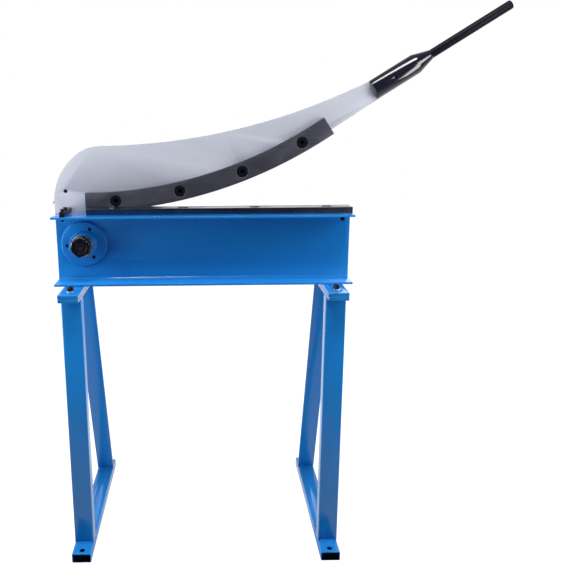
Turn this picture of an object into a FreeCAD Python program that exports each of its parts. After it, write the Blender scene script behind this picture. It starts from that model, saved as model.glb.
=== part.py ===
import FreeCAD, Part
import math
import os

# Lever guillotine shear for sheet metal, on its floor stand.  Millimetres, +Z up.
# Origin: on the floor, in the middle of the four anchor holes.  The operator stands
# at -Y, the pivot is at -X and the handle at +X.

# ---------------------------------------------------------------- driving dimensions
cutting_length = 800.0          # lower blade, end to end
stand_height = 850.0            # floor to the top of the stand bars
stand_width = 840.0             # over the outer faces of the two side frames

# floor rails and legs of the stand
rail_length = 610.0
tube_width = 60.0
rail_height = 30.0
leg_depth = 40.0
tube_wall = 2.5
brace_thickness = 8.0           # slanted rear legs are flat bar
front_leg_setback = 60.0        # rail end to the front face of the front leg
brace_foot_setback = 60.0       # rear rail end to the rear edge of the brace foot
anchor_inset = 20.0             # rail end to the anchor hole
anchor_bore = 17.0

# bars between the stand and the bed
bar_width = 60.0
bar_thickness = 12.0
bar_length = 320.0
bar_front_overhang = 103.0      # bar end to the front edge of the bed flange
brace_top_inset = 58.0          # bar rear end to the rear edge of the brace top
stand_bolt_front = 45.0         # bar front end to the front bolt
stand_bolt_rear = 28.0
stand_bolt_dia = 12.0
stand_nut_height = 10.5
washer_seat = 2.5               # washers under the stand nuts

# bed beam
bed_overhang = 100.0            # beam end to the lower blade, on the pivot side
beam_height = 210.0
flange_width = 160.0
flange_thickness = 6.5
web_thickness = 8.0
weld_leg = 5.0
plug_drop = 21.0                # bed top to the two plugged holes of the web
flange_cut_gap = 2.0            # top flange stops this far in front of the shear plane
rear_rail_to_bed = 120.0        # rail front end to the front edge of the bed flange

# lower blade
lower_blade_setback = 40.0      # flange front edge to the blade front face
lower_blade_width = 64.0
lower_blade_thickness = 18.0
lower_screw_pitch = 217.0
lower_screw_web_gap = 1.0       # screw to the face of the web below it
lower_screw_count = 4
lower_screw_dia = 12.0
lower_sink_dia = 34.0
lower_head_dia = 24.0

# upper blade: a curved bar, described about the centre of its cutting edge
blade_gap = 0.3                 # between the two cutting edges
upper_edge_radius = 1377.0
upper_blade_width = 57.0
upper_blade_thickness = 18.0
upper_edge_dip = 15.0           # lowest point of the edge below the lower blade top
upper_centre_offset = 4.5       # pivot to the edge centre, along X
upper_heel_angle = 0.0          # left end of the blade, degrees from straight down
upper_blade_extra = 5.0         # longer than the lower blade by this much, along the arc
upper_screw_count = 4
upper_screw_end = 96.0          # blade end to the first screw, along the edge
upper_screw_dia = 20.0
upper_head_dia = 35.0
upper_sink_dia = 36.0
nut_height = 16.0
nut_flats = 30.0

# arm plate
arm_thickness = 10.0
arm_edge_setback = 13.0         # plate edge behind the cutting edge
arm_boss_radius = 95.0
arm_side_height = 120.0         # straight left side above the pivot
arm_shoulder_radius = 183.0
arm_crown_radius = 119.0
arm_crown_angle = 31.6          # slope where the shoulder meets the crown
arm_neck_width = 108.0          # pivot to the throat side of the neck
arm_neck_fillet = 25.0
arm_screw_offset = (-58.0, 157.0)
arm_screw_dia = 12.0
edge_screw_height = 122.0
edge_screw_dia = 7.0

# handle
handle_reach = 171.5            # blade end to the socket mouth, along the edge
handle_mouth_depth = 30.0       # socket mouth centre inside the cutting-edge radius
handle_slope = 31.4
socket_dia = 60.0
socket_bore = 52.0
socket_length = 141.0
socket_cone = 53.0
tang_width = 48.0
tang_length = 120.0
rod_dia = 26.0
rod_length = 264.0
rod_spigot = 40.0
rod_end_radius = 3.0
set_screw_places = (12.0, 67.0)
set_screw_dia = 8.0

# pivot
pivot_inset = 84.0              # beam end to the pivot
pivot_drop = 92.0               # bed top to the pivot
hub_flange_dia = 136.0
hub_flange_thickness = 9.0
hub_boss_dia = 80.0
hub_boss_length = 30.0
hub_screw_circle = 100.0
hub_screw_dia = 8.0
hub_screw_head = 9.0
bush_wall = 4.0
bush_length = 30.0
shaft_dia = 36.0
shaft_head_dia = 66.0
shaft_head_thickness = 10.0
nut_across_flats = 55.0
pivot_nut_height = 29.0
washer_dia = 66.0
washer_thickness = 4.0
thrust_washer_thickness = 2.0

# guide bar that steadies the arm
guide_bar_size = 15.0
guide_bar_front = 4.0           # flange front edge to the bar
guide_bar_inset = 34.5          # beam end to the bar centre line
guide_screw_first = 14.0        # bar's front end to the first screw
guide_screw_web_gap = 12.0      # second screw to the face of the web below it
guide_screw_dia = 8.0
guide_screw_head = 13.0
guide_travel = 8.0

# clearances
running = 0.05                  # radial, turning and sliding fits
screw_fit = 0.05                # radial, thread in its hole
head_fit = 0.1                  # along the axis, countersunk head over its seat
hole_fit = 0.5                  # radial, bolt through a plain hole
face_gap = 0.3                  # between faces that move past each other

# ---------------------------------------------------------------- derived places
rail_x = stand_width / 2 - tube_width / 2
bar_x = stand_width / 2 - bar_width / 2
rail_front = -rail_length / 2
bed_front = rail_front + rear_rail_to_bed
bed_rear = bed_front + flange_width
bed_bottom = stand_height + bar_thickness
bed_top = bed_bottom + beam_height
web_front = bed_front + flange_width / 2 - web_thickness / 2
web_rear = web_front + web_thickness
bed_length = cutting_length + bed_overhang
bed_left = -bed_length / 2
bed_right = bed_length / 2

blade_left = bed_left + bed_overhang
lower_front = bed_front + lower_blade_setback
lower_rear = lower_front + lower_blade_width
lower_top = bed_top + lower_blade_thickness
flange_rear = lower_rear - flange_cut_gap
plug_line = bed_top - plug_drop
lower_screw_y = web_front - lower_screw_dia / 2 - lower_screw_web_gap

pivot_x = bed_left + pivot_inset
pivot_z = bed_top - pivot_drop
edge_x = pivot_x + upper_centre_offset
edge_z = lower_top + upper_edge_radius - upper_edge_dip
upper_toe_angle = upper_heel_angle + math.degrees((cutting_length + upper_blade_extra) / upper_edge_radius)
upper_front = lower_rear + blade_gap
arm_front = upper_front + upper_blade_thickness
arm_rear = arm_front + arm_thickness
arm_mid = (arm_front + arm_rear) / 2
hub_front = web_front - hub_flange_thickness - hub_boss_length
hub_rear = arm_front - face_gap - thrust_washer_thickness
bar_front = bed_front - bar_front_overhang
bar_rear = bar_front + bar_length
handle_angle = upper_toe_angle + math.degrees(handle_reach / upper_edge_radius)
guide_x = bed_left + guide_bar_inset

UP = FreeCAD.Vector(0, 0, 1)
BACK = FreeCAD.Vector(0, 1, 0)
RIGHT = FreeCAD.Vector(1, 0, 0)


# ---------------------------------------------------------------- small helpers
def vec(x, y, z):
    return FreeCAD.Vector(x, y, z)


def block(x0, x1, y0, y1, z0, z1):
    return Part.makeBox(x1 - x0, y1 - y0, z1 - z0, vec(x0, y0, z0))


def rod(dia, length, start, axis=UP):
    return Part.makeCylinder(dia / 2, length, start, axis)


def ring(outer, inner, length, start, axis=UP):
    return rod(outer, length, start, axis).cut(rod(inner, length, start, axis))


def taper(dia0, dia1, length, start, axis=UP):
    return Part.makeCone(dia0 / 2, dia1 / 2, length, start, axis)


def hexagon(across, length, start, axis=UP, turn=0.0):
    """Six-sided prism with its corners taken off, as on a nut or a bolt head."""
    radius = across / math.sqrt(3)
    corners = []
    for k in range(7):
        a = math.radians(60 * k + turn)
        corners.append(vec(radius * math.cos(a), radius * math.sin(a), 0))
    prism = Part.Face(Part.makePolygon(corners)).extrude(vec(0, 0, length))
    cone = Part.makeCone(radius + length, across * 0.49, radius + length - across * 0.49)
    prism = prism.common(cone.translated(vec(0, 0, length - cone.BoundBox.ZLength + 0.8)))
    prism.Placement = FreeCAD.Placement(start, FreeCAD.Rotation(UP, axis)).multiply(prism.Placement)
    return prism


def socket(across, depth, start, axis):
    """Hexagonal wrench socket, cut inwards from a screw's face."""
    radius = across / math.sqrt(3)
    corners = [vec(radius * math.cos(math.radians(60 * k)), radius * math.sin(math.radians(60 * k)), 0)
               for k in range(7)]
    prism = Part.Face(Part.makePolygon(corners)).extrude(vec(0, 0, depth))
    prism.Placement = FreeCAD.Placement(start, FreeCAD.Rotation(UP, axis))
    return prism


def polar(radius, angle):
    """Point (x, z) at an angle from straight down about the cutting edge's centre."""
    a = math.radians(angle)
    return edge_x + radius * math.sin(a), edge_z - radius * math.cos(a)


def face_point(xz, y):
    return vec(xz[0], y, xz[1])


def together(solids):
    return Part.makeCompound(solids)


# ---------------------------------------------------------------- stand
def floor_rail(side):
    x = side * rail_x
    half = tube_width / 2
    outer = block(x - half, x + half, rail_front, -rail_front, 0, rail_height)
    inner = block(x - half + tube_wall, x + half - tube_wall, rail_front, -rail_front,
                  tube_wall, rail_height - tube_wall)
    tube = outer.cut(inner)
    for y in (rail_front + anchor_inset, -rail_front - anchor_inset):
        tube = tube.cut(rod(anchor_bore, rail_height, vec(x, y, 0)))
    return tube


def front_leg(side):
    x = side * rail_x
    y = rail_front + front_leg_setback
    half = tube_width / 2
    top = stand_height - bar_thickness
    outer = block(x - half, x + half, y, y + leg_depth, rail_height, top)
    inner = block(x - half + tube_wall, x + half - tube_wall, y + tube_wall,
                  y + leg_depth - tube_wall, rail_height, top)
    return outer.cut(inner)


def rear_leg(side):
    """Flat bar sloping from under the stand bar back to the end of the rail."""
    x = side * rail_x
    top = stand_height - bar_thickness
    foot = -rail_front - brace_foot_setback
    head = bar_rear - brace_top_inset
    slope = math.atan2(foot - head, top - rail_height)
    along = brace_thickness / math.cos(slope)
    profile = [vec(0, foot - along, rail_height), vec(0, foot, rail_height),
               vec(0, head, top), vec(0, head - along, top), vec(0, foot - along, rail_height)]
    plate = Part.Face(Part.makePolygon(profile)).extrude(vec(tube_width, 0, 0))
    return plate.translated(vec(x - tube_width / 2, 0, 0))


def bolt_places(side):
    x = side * bar_x
    return [(x, bar_front + stand_bolt_front), (x, bar_rear - stand_bolt_rear)]


def cross_bar(side, bottom, fit):
    """Flat bar across the stand; the upper one has plain holes, the lower one threads."""
    x = side * bar_x
    bar = block(x - bar_width / 2, x + bar_width / 2, bar_front, bar_rear,
                bottom, bottom + bar_thickness)
    for bx, by in bolt_places(side):
        bar = bar.cut(rod(stand_bolt_dia + 2 * fit, bar_thickness, vec(bx, by, bottom)))
    return bar


def stand_washers():
    rings = []
    for side in (-1, 1):
        for bx, by in bolt_places(side):
            rings.append(ring(2 * stand_bolt_dia, stand_bolt_dia + 2 * hole_fit, washer_seat,
                              vec(bx, by, bed_bottom)))
    return together(rings)


def stand_studs():
    """Studs screwed into the lower bars; their ends stand out above the nuts."""
    studs = []
    for side in (-1, 1):
        for bx, by in bolt_places(side):
            bottom = stand_height - bar_thickness + 0.5
            top = bed_bottom + washer_seat + stand_nut_height + 2.5
            studs.append(rod(stand_bolt_dia, top - bottom, vec(bx, by, bottom)))
    return together(studs)


def stand_nuts():
    nuts = []
    for side in (-1, 1):
        for bx, by in bolt_places(side):
            seat = vec(bx, by, bed_bottom + washer_seat)
            nut = hexagon(1.5 * stand_bolt_dia, stand_nut_height, seat, UP, 12.0)
            nuts.append(nut.cut(rod(stand_bolt_dia + 2 * screw_fit, stand_nut_height, seat)))
    return together(nuts)


# ---------------------------------------------------------------- bed
def weld(y, z, y_leg, z_leg):
    """Fillet weld running the length of the beam."""
    tri = Part.makePolygon([vec(bed_left, y, z), vec(bed_left, y + y_leg, z),
                            vec(bed_left, y, z + z_leg), vec(bed_left, y, z)])
    return Part.Face(tri).extrude(vec(bed_length, 0, 0))


def lower_screw_xs():
    middle = (blade_left + bed_right) / 2
    first = middle - lower_screw_pitch * (lower_screw_count - 1) / 2
    return [first + lower_screw_pitch * k for k in range(lower_screw_count)]


def web_plug_spots():
    """(x, diameter) of the tapped holes near the top corners of the web."""
    return [(bed_left + 22.0, 7.0), (bed_right - 23.0, 15.0)]


def guide_screw_ys():
    return [bed_front + guide_bar_front + guide_screw_first,
            web_front - guide_screw_dia / 2 - guide_screw_web_gap]


def bed_beam():
    under_top = bed_top - flange_thickness
    over_bottom = bed_bottom + flange_thickness
    beam = block(bed_left, bed_right, bed_front, bed_rear, bed_bottom, over_bottom)
    beam = beam.fuse(block(bed_left, bed_right, bed_front, flange_rear, under_top, bed_top))
    beam = beam.fuse(block(bed_left, bed_right, web_front, web_rear, over_bottom, under_top))
    for y, sign in ((web_front, -1), (web_rear, 1)):
        beam = beam.fuse(weld(y, over_bottom, sign * weld_leg, weld_leg))
        beam = beam.fuse(weld(y, under_top, sign * weld_leg, -weld_leg))
    pivot_bore = rod(hub_boss_dia + 2 * face_gap, web_thickness + 2, vec(pivot_x, web_front - 1, pivot_z), BACK)
    beam = beam.cut(pivot_bore)
    for x, z in hub_screw_spots():
        beam = beam.cut(rod(hub_screw_dia + 2 * screw_fit, web_thickness, vec(x, web_front, z), BACK))
    for x in lower_screw_xs():
        beam = beam.cut(rod(lower_screw_dia + 2 * screw_fit, flange_thickness, vec(x, lower_screw_y, under_top)))
    for y in guide_screw_ys():
        beam = beam.cut(rod(guide_screw_dia + 2 * screw_fit, flange_thickness, vec(guide_x, y, under_top)))
    for x, dia in web_plug_spots():
        beam = beam.cut(rod(dia, web_thickness, vec(x, web_front, plug_line), BACK))
    return beam.removeSplitter()


def web_plugs():
    """Socket screws that close the two tapped holes of the web, a little below its face."""
    plugs = []
    for x, dia in web_plug_spots():
        face = vec(x, web_front + 1.0, plug_line)
        plug = rod(dia - 2 * screw_fit, web_thickness - 1.5, face, BACK)
        plugs.append(plug.cut(socket(dia / 2, 0.35 * dia, face, BACK)))
    return together(plugs)


def lower_blade():
    blade = block(blade_left, bed_right, lower_front, lower_rear, bed_top, lower_top)
    y = lower_screw_y
    sink = (lower_sink_dia - lower_screw_dia) / 2
    for x in lower_screw_xs():
        blade = blade.cut(rod(lower_screw_dia + 2 * hole_fit, lower_blade_thickness, vec(x, y, bed_top)))
        blade = blade.cut(taper(lower_screw_dia, lower_sink_dia, sink, vec(x, y, lower_top - sink)))
    return blade


def lower_blade_screws():
    """Countersunk screws, their heads below the blade's surface."""
    y = lower_screw_y
    sink = (lower_head_dia - lower_screw_dia) / 2
    head_top = lower_top - (lower_sink_dia - lower_head_dia) / 2 + head_fit
    screws = []
    for x in lower_screw_xs():
        head = taper(lower_screw_dia, lower_head_dia, sink, vec(x, y, head_top - sink))
        bottom = bed_top - flange_thickness + 0.5
        shank = rod(lower_screw_dia, head_top - sink - bottom, vec(x, y, bottom))
        screw = head.fuse(shank)
        screws.append(screw.cut(socket(8.0, 5.0, vec(x, y, head_top), -UP)))
    return together(screws)


# ---------------------------------------------------------------- pivot
def hub_screw_spots():
    spots = []
    for k in range(3):
        a = math.radians(66 + 120 * k)
        spots.append((pivot_x + hub_screw_circle / 2 * math.cos(a),
                      pivot_z + hub_screw_circle / 2 * math.sin(a)))
    return spots


def pivot_hub():
    disc_front = web_front - hub_flange_thickness
    hub = rod(hub_flange_dia, hub_flange_thickness, vec(pivot_x, disc_front, pivot_z), BACK)
    hub = hub.fuse(rod(hub_boss_dia, hub_rear - hub_front, vec(pivot_x, hub_front, pivot_z), BACK))
    bore = shaft_dia + 2 * bush_wall
    hub = hub.cut(rod(bore, hub_rear - hub_front, vec(pivot_x, hub_front, pivot_z), BACK))
    for x, z in hub_screw_spots():
        hub = hub.cut(rod(hub_screw_dia + 2 * hole_fit, hub_flange_thickness, vec(x, disc_front, z), BACK))
        hub = hub.cut(rod(hub_screw_head + 2 * hole_fit, 4.0, vec(x, disc_front, z), BACK))
    return hub.removeSplitter()


def hub_screws():
    screws = []
    for x, z in hub_screw_spots():
        head_front = web_front - hub_flange_thickness + 1.0
        screw = rod(hub_screw_head, 3.0, vec(x, head_front, z), BACK)
        reach = web_rear - 0.5 - head_front
        screw = screw.fuse(rod(hub_screw_dia, reach, vec(x, head_front, z), BACK))
        screws.append(screw.cut(socket(5.0, 2.5, vec(x, head_front, z), BACK)))
    return together(screws)


def bush(start):
    return ring(shaft_dia + 2 * bush_wall, shaft_dia + 2 * running, bush_length,
                vec(pivot_x, start, pivot_z), BACK)


def washer_front():
    return hub_front - face_gap - washer_thickness


def pivot_shaft():
    front = washer_front() - pivot_nut_height + 1.5
    shaft = rod(shaft_dia, arm_rear - front, vec(pivot_x, front, pivot_z), BACK)
    chamfer = rod(shaft_dia, 2.0, vec(pivot_x, front, pivot_z), BACK)
    chamfer = chamfer.cut(taper(shaft_dia - 4, shaft_dia, 2.0, vec(pivot_x, front, pivot_z), BACK))
    shaft = shaft.cut(chamfer)
    return shaft.fuse(rod(shaft_head_dia, shaft_head_thickness, vec(pivot_x, arm_rear, pivot_z), BACK))


def pivot_nut():
    face = washer_front()
    nut = hexagon(nut_across_flats, pivot_nut_height, vec(pivot_x, face, pivot_z), -BACK, 23.0)
    bore = rod(shaft_dia + 2 * screw_fit, pivot_nut_height, vec(pivot_x, face - pivot_nut_height, pivot_z), BACK)
    return nut.cut(bore)


def plain_washer(outer, thickness, start):
    return ring(outer, shaft_dia + 2 * hole_fit, thickness, vec(pivot_x, start, pivot_z), BACK)


# ---------------------------------------------------------------- arm
def handle_mouth():
    return polar(upper_edge_radius - handle_mouth_depth, handle_angle)


def along_handle(distance, across=0.0):
    """Point (x, z) a distance past the socket mouth and to one side of its axis."""
    mx, mz = handle_mouth()
    a = math.radians(handle_slope)
    return (mx + distance * math.cos(a) - across * math.sin(a),
            mz + distance * math.sin(a) + across * math.cos(a))


def upper_screw_angles():
    margin = math.degrees(upper_screw_end / upper_edge_radius)
    first = upper_heel_angle + margin
    step = (upper_toe_angle - upper_heel_angle - 2 * margin) / (upper_screw_count - 1)
    return [first + step * k for k in range(upper_screw_count)]


def upper_screw_spots():
    radius = upper_edge_radius - upper_blade_width / 2
    return [polar(radius, a) for a in upper_screw_angles()]


def arm_outline(y):
    """Closed outline of the arm plate, clockwise from the left side of the pivot boss."""
    left = pivot_x - arm_boss_radius
    low_z = pivot_z + arm_side_height
    low_x = left + arm_shoulder_radius
    turn = math.radians(arm_crown_angle)

    # shoulder and crown arcs, tangent to each other and level at the top
    def on_shoulder(a):
        return (low_x - arm_shoulder_radius * math.cos(a), low_z + arm_shoulder_radius * math.sin(a))

    crown = on_shoulder(math.pi / 2 - turn)
    crown_x = crown[0] + arm_crown_radius * math.sin(turn)
    crown_z = crown[1] - arm_crown_radius * math.cos(turn)
    crown_mid = (crown_x - arm_crown_radius * math.sin(turn / 2), crown_z + arm_crown_radius * math.cos(turn / 2))
    top = (crown_x, crown_z + arm_crown_radius)

    # long hollow back, level where it leaves the crown, up to the socket's upper corner
    corner = along_handle(-1.0, socket_dia / 2)
    rise = corner[1] - top[1]
    run = corner[0] - top[0]
    back_radius = (run * run + rise * rise) / (2 * rise)
    half = math.asin(run / back_radius) / 2
    back_mid = (top[0] + back_radius * math.sin(half), top[1] + back_radius * (1 - math.cos(half)))

    # underside follows the blade, then the neck drops to the pivot boss
    plate_radius = upper_edge_radius - arm_edge_setback
    neck_x = pivot_x + arm_neck_width
    neck_angle = math.degrees(math.asin((neck_x - edge_x) / plate_radius))
    toe_angle = upper_toe_angle + 0.4
    toe = polar(plate_radius, toe_angle)
    belly = polar(plate_radius, (toe_angle + neck_angle) / 2)
    neck = polar(plate_radius, neck_angle)

    def p(xz):
        return face_point(xz, y)

    edges = [Part.makeLine(p((left, pivot_z)), p((left, low_z)))]
    edges.append(Part.Arc(p((left, low_z)), p(on_shoulder((math.pi / 2 - turn) / 2)), p(crown)).toShape())
    edges.append(Part.Arc(p(crown), p(crown_mid), p(top)).toShape())
    edges.append(Part.Arc(p(top), p(back_mid), p(corner)).toShape())
    steps = [corner, along_handle(-1.0, tang_width / 2), along_handle(tang_length, tang_width / 2),
             along_handle(tang_length, -tang_width / 2), along_handle(-1.0, -tang_width / 2),
             along_handle(-1.0, -socket_dia / 2), toe]
    for a, b in zip(steps, steps[1:]):
        edges.append(Part.makeLine(p(a), p(b)))
    edges.append(Part.Arc(p(toe), p(belly), p(neck)).toShape())
    boss_right = (pivot_x + arm_boss_radius, pivot_z)
    edges.append(Part.makeLine(p(neck), p(boss_right)))
    edges.append(Part.Arc(p(boss_right), p((pivot_x, pivot_z - arm_boss_radius)), p((left, pivot_z))).toShape())
    return edges, p(neck)


def arm_plate():
    edges, neck = arm_outline(arm_front)
    plate = Part.Face(Part.Wire(edges)).extrude(vec(0, arm_thickness, 0))
    corner = [e for e in plate.Edges
              if all(abs(v.X - neck.x) + abs(v.Z - neck.z) < 0.01 for v in e.Vertexes)]
    plate = plate.makeFillet(arm_neck_fillet, corner)
    plate = plate.cut(rod(shaft_dia + 2 * running, arm_thickness, vec(pivot_x, arm_front, pivot_z), BACK))
    for spot in upper_screw_spots():
        plate = plate.cut(rod(upper_screw_dia + 2 * hole_fit, arm_thickness, face_point(spot, arm_front), BACK))
    x = pivot_x + arm_screw_offset[0]
    z = pivot_z + arm_screw_offset[1]
    plate = plate.cut(rod(arm_screw_dia + 2 * screw_fit, arm_thickness, vec(x, arm_front, z), BACK))
    left = pivot_x - arm_boss_radius - 1
    plate = plate.cut(rod(5.0 + 2 * screw_fit, 20.0, vec(left, arm_mid, pivot_z + edge_screw_height), RIGHT))
    return plate


def arm_screw():
    x = pivot_x + arm_screw_offset[0]
    z = pivot_z + arm_screw_offset[1]
    screw = rod(arm_screw_dia, arm_thickness + 5.0, vec(x, arm_front + 1.0, z), BACK)
    return screw.cut(socket(6.0, 5.0, vec(x, arm_front + 1.0, z), BACK))


def edge_screw():
    left = pivot_x - arm_boss_radius
    z = pivot_z + edge_screw_height
    screw = rod(5.0, 18.0, vec(left - 0.5, arm_mid, z), RIGHT)
    return screw.fuse(rod(edge_screw_dia, 5.0, vec(left - 5.5, arm_mid, z), RIGHT))


def upper_blade():
    inner = upper_edge_radius - upper_blade_width
    middle = (upper_heel_angle + upper_toe_angle) / 2

    def p(radius, angle):
        return face_point(polar(radius, angle), upper_front)

    heel, toe = upper_heel_angle, upper_toe_angle
    outline = [Part.Arc(p(upper_edge_radius, heel), p(upper_edge_radius, middle), p(upper_edge_radius, toe)).toShape(),
               Part.makeLine(p(upper_edge_radius, toe), p(inner, toe)),
               Part.Arc(p(inner, toe), p(inner, middle), p(inner, heel)).toShape(),
               Part.makeLine(p(inner, heel), p(upper_edge_radius, heel))]
    blade = Part.Face(Part.Wire(outline)).extrude(vec(0, upper_blade_thickness, 0))
    sink = (upper_sink_dia - upper_screw_dia) / 2
    for spot in upper_screw_spots():
        start = face_point(spot, upper_front)
        blade = blade.cut(rod(upper_screw_dia + 2 * hole_fit, upper_blade_thickness, start, BACK))
        blade = blade.cut(taper(upper_sink_dia, upper_screw_dia, sink, start, BACK))
    return blade


def upper_blade_screws():
    sink = (upper_head_dia - upper_screw_dia) / 2
    back = (upper_sink_dia - upper_head_dia) / 2 - head_fit
    screws = []
    for spot in upper_screw_spots():
        face = face_point(spot, upper_front + back)
        reach = arm_rear + nut_height + 2.0 - face.y
        screw = taper(upper_head_dia, upper_screw_dia, sink, face, BACK)
        screw = screw.fuse(rod(upper_screw_dia, reach, face, BACK))
        screws.append(screw.cut(socket(12.0, 6.0, face, BACK)))
    return together(screws)


def upper_blade_nuts():
    nuts = []
    for spot in upper_screw_spots():
        seat = face_point(spot, arm_rear)
        nut = hexagon(nut_flats, nut_height, seat, BACK)
        nuts.append(nut.cut(rod(upper_screw_dia + 2 * screw_fit, nut_height, seat, BACK)))
    return together(nuts)


# ---------------------------------------------------------------- handle
def handle_axis():
    a = math.radians(handle_slope)
    return vec(math.cos(a), 0, math.sin(a))


def handle_socket():
    axis = handle_axis()
    start = face_point(handle_mouth(), arm_mid)
    shoulder = start + axis * socket_length
    body = rod(socket_dia, socket_length, start, axis)
    body = body.fuse(taper(socket_dia, rod_dia + 2, socket_cone, shoulder, axis))
    body = body.cut(rod(socket_bore, tang_length + 2.0, start, axis))
    spigot = shoulder + axis * (socket_cone - rod_spigot)
    body = body.cut(rod(rod_dia - 6 + 2 * running, rod_spigot, spigot, axis))
    wall = (socket_dia - socket_bore) / 2
    for place in set_screw_places:
        spot = start + axis * place
        body = body.cut(rod(set_screw_dia + 2 * screw_fit, socket_dia / 2, spot, -BACK))
    return body


def socket_set_screws():
    screws = []
    for place in set_screw_places:
        spot = face_point(along_handle(place), arm_front - 0.05)
        reach = socket_dia / 2 - arm_thickness / 2 - 1.5
        screw = rod(set_screw_dia, reach, spot, -BACK)
        screws.append(screw.cut(socket(4.0, 5.0, spot - BACK * reach, BACK)))
    return together(screws)


def handle_rod():
    """Steel bar with a turned-down spigot in the socket and a rounded free end."""
    axis = handle_axis()
    root = face_point(along_handle(socket_length + socket_cone + 0.05), arm_mid)
    bar = rod(rod_dia, rod_length, root, axis)
    bar = bar.fuse(rod(rod_dia - 6, rod_spigot - 1.0, root - axis * (rod_spigot - 1.0), axis))
    end = max(bar.Edges, key=lambda e: e.CenterOfMass.dot(axis))
    return bar.makeFillet(rod_end_radius, [end])


# ---------------------------------------------------------------- guide bar
def guide_bar():
    half = guide_bar_size / 2
    front = bed_front + guide_bar_front
    bar = block(guide_x - half, guide_x + half, front, arm_front - face_gap, bed_top, bed_top + guide_bar_size)
    radius = guide_screw_dia / 2 + hole_fit
    for y in guide_screw_ys():
        slot = block(guide_x - radius, guide_x + radius, y, y + guide_travel, bed_top, bed_top + guide_bar_size)
        for end in (y, y + guide_travel):
            slot = slot.fuse(rod(2 * radius, guide_bar_size, vec(guide_x, end, bed_top)))
        bar = bar.cut(slot)
    return bar


def guide_bar_screws():
    screws = []
    for y in guide_screw_ys():
        seat = bed_top + guide_bar_size + running
        bottom = bed_top - flange_thickness + 0.5
        screw = rod(guide_screw_dia, seat - bottom, vec(guide_x, y, bottom))
        screw = screw.fuse(rod(guide_screw_head, 8.0, vec(guide_x, y, seat)))
        screws.append(screw.cut(socket(6.0, 4.0, vec(guide_x, y, seat + 8.0), -UP)))
    return together(screws)


# ---------------------------------------------------------------- every piece
parts = {
    "bed_beam": bed_beam(),
    "lower_blade": lower_blade(),
    "lower_blade_screws": lower_blade_screws(),
    "pivot_hub": pivot_hub(),
    "hub_screws": hub_screws(),
    "front_bush": bush(hub_front),
    "rear_bush": bush(hub_rear - bush_length),
    "pivot_shaft": pivot_shaft(),
    "pivot_nut": pivot_nut(),
    "pivot_washer": plain_washer(washer_dia, washer_thickness, washer_front()),
    "thrust_washer": plain_washer(hub_boss_dia, thrust_washer_thickness, hub_rear),
    "arm_plate": arm_plate(),
    "arm_screw": arm_screw(),
    "edge_screw": edge_screw(),
    "upper_blade": upper_blade(),
    "upper_blade_screws": upper_blade_screws(),
    "upper_blade_nuts": upper_blade_nuts(),
    "handle_socket": handle_socket(),
    "socket_set_screws": socket_set_screws(),
    "handle_rod": handle_rod(),
    "guide_bar": guide_bar(),
    "guide_bar_screws": guide_bar_screws(),
    "stand_washers": stand_washers(),
    "stand_studs": stand_studs(),
    "stand_nuts": stand_nuts(),
    "web_plugs": web_plugs(),
}
for side, name in ((-1, "left"), (1, "right")):
    parts["floor_rail_" + name] = floor_rail(side)
    parts["front_leg_" + name] = front_leg(side)
    parts["rear_leg_" + name] = rear_leg(side)
    parts["stand_bar_" + name] = cross_bar(side, stand_height - bar_thickness, screw_fit)
    parts["foot_bar_" + name] = cross_bar(side, stand_height, hole_fit)

os.makedirs("parts", exist_ok=True)
for node, shape in parts.items():
    shape.exportStep("parts/" + node + ".step")
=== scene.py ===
"""Looks of a hand lever guillotine shear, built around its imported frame.

Every piece is finished from the frame's own shapes: edges are rounded, weld beads, screw
threads and turned details are added, and each surface gets its paint or steel.
"""
import math
import random

import bmesh
import bpy
from bpy.props import FloatProperty, FloatVectorProperty, PointerProperty
from mathutils import Matrix, Vector


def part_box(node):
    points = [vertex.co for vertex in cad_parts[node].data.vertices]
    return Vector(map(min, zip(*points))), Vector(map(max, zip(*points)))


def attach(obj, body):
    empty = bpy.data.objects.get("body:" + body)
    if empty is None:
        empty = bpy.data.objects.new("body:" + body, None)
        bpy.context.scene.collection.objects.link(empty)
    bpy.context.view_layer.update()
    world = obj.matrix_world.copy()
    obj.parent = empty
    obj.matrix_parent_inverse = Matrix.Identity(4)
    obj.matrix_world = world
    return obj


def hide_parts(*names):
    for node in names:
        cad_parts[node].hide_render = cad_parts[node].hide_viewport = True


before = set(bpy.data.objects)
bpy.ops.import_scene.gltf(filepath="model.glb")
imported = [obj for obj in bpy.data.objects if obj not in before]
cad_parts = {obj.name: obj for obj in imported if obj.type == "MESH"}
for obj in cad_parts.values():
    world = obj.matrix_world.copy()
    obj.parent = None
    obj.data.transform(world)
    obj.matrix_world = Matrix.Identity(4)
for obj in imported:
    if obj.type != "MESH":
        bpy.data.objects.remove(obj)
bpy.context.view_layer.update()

bl_info = {
    "name": "Lever guillotine shear",
    "version": (1, 0, 0),
    "blender": (4, 5, 0),
    "location": "View3D > Sidebar > Shear",
    "description": "Builds the finished look of a lever guillotine shear on its stand",
    "category": "Add Mesh",
}

STAND = "stand_and_bed"
ARM = "arm"
GUIDE = "guide_bar"
MM = 0.001
SIDES = ("left", "right")
BED_LOW, BED_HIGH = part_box("bed_beam")
HUB_LOW, HUB_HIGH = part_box("pivot_hub")
PIVOT = (HUB_LOW + HUB_HIGH) / 2
CLEAR_OF_FLANGES = 30 * MM
WEB_DEPTHS = [v.co.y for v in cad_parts["bed_beam"].data.vertices
              if BED_LOW.z + CLEAR_OF_FLANGES < v.co.z < BED_HIGH.z - CLEAR_OF_FLANGES]
WEB_FRONT, WEB_REAR = min(WEB_DEPTHS), max(WEB_DEPTHS)
X, Y, Z = Vector((1, 0, 0)), Vector((0, 1, 0)), Vector((0, 0, 1))

# Mesh cleaning: points closer than the gap are one, faces flatter than the angle are one.
SHARED_POINT_GAP = 2e-6
FLAT_FACE_ANGLE = math.radians(0.4)
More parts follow.
